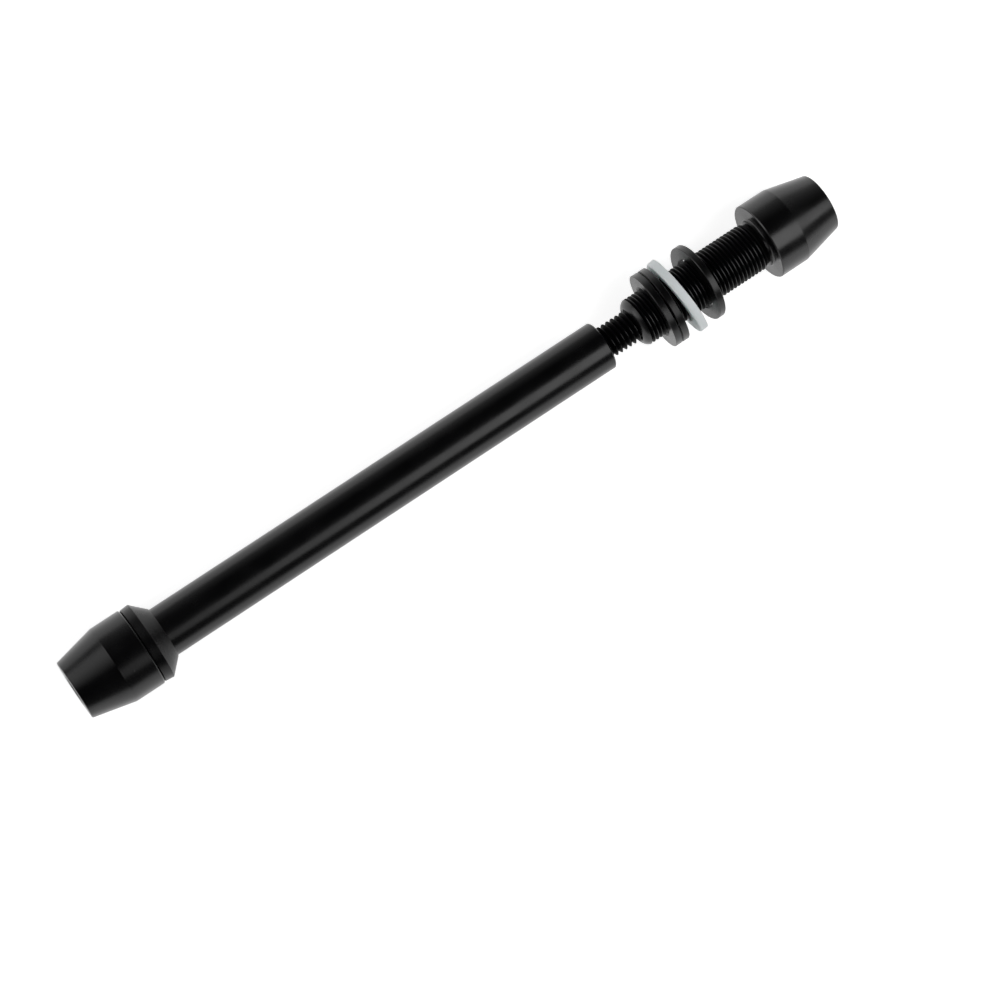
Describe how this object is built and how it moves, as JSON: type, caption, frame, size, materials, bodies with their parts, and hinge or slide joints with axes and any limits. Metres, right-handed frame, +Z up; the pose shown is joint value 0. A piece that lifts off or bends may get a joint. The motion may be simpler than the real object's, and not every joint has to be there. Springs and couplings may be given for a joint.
{
  "type": "bicycle thru axle",
  "caption": "Straight round thru axle: plain shaft with a cone head and a tapered washer, and a screw-on threaded end with lock nuts, a loose washer and a matching cone head.",
  "frame": {"origin": "on the axis, in the middle of the plain shaft", "axes": "+X along the axis towards the screw-on end, +Z up with the axle level as it is fitted on a bicycle"},
  "size_m": [0.2035, 0.0198, 0.0198],
  "materials": {
    "black_anodised": "satin black anodised",
    "white_nylon": "plain, slightly translucent"
  },
  "bodies": {
    "axle": {"axle": "black_anodised"},
    "cone_washer": {"cone_washer": "black_anodised"},
    "nylon_washer": {"nylon_washer": "white_nylon"},
    "end_bolt": {"end_bolt": "black_anodised"},
    "lock_nut_1": {"lock_nut_1": "black_anodised"},
    "lock_nut_2": {"lock_nut_2": "black_anodised"},
    "lock_nut_3": {"lock_nut_3": "black_anodised"}
  },
  "joints": [
    {"name": "cone_washer_slide", "type": "slide", "parent": "axle", "child": "cone_washer", "axis": [1, 0, 0], "range_m": [0, 0.117]},
    {"name": "bolt_travel", "type": "slide", "parent": "axle", "child": "nylon_washer", "axis": [1, 0, 0], "range_m": [-0.008, 0.006]},
    {"name": "bolt_turn", "type": "hinge", "parent": "nylon_washer", "child": "end_bolt", "pos_m": [0.0716, 0, 0], "axis": [1, 0, 0], "range_deg": [-2250, 1710]},
    {"name": "lock_nut_1_travel", "type": "slide", "parent": "nylon_washer", "child": "lock_nut_1", "axis": [1, 0, 0], "range_m": [-0.004, 0.0002]},
    {"name": "lock_nut_2_travel", "type": "slide", "parent": "nylon_washer", "child": "lock_nut_2", "axis": [1, 0, 0], "range_m": [-0.0002, 0.0006]},
    {"name": "lock_nut_3_travel", "type": "slide", "parent": "nylon_washer", "child": "lock_nut_3", "axis": [1, 0, 0], "range_m": [-0.0018, 0.0154]}
  ],
  "couplings": [
    {"joint": "bolt_travel", "follows": "bolt_turn", "m_per_rad": 0.00019894}
  ]
}
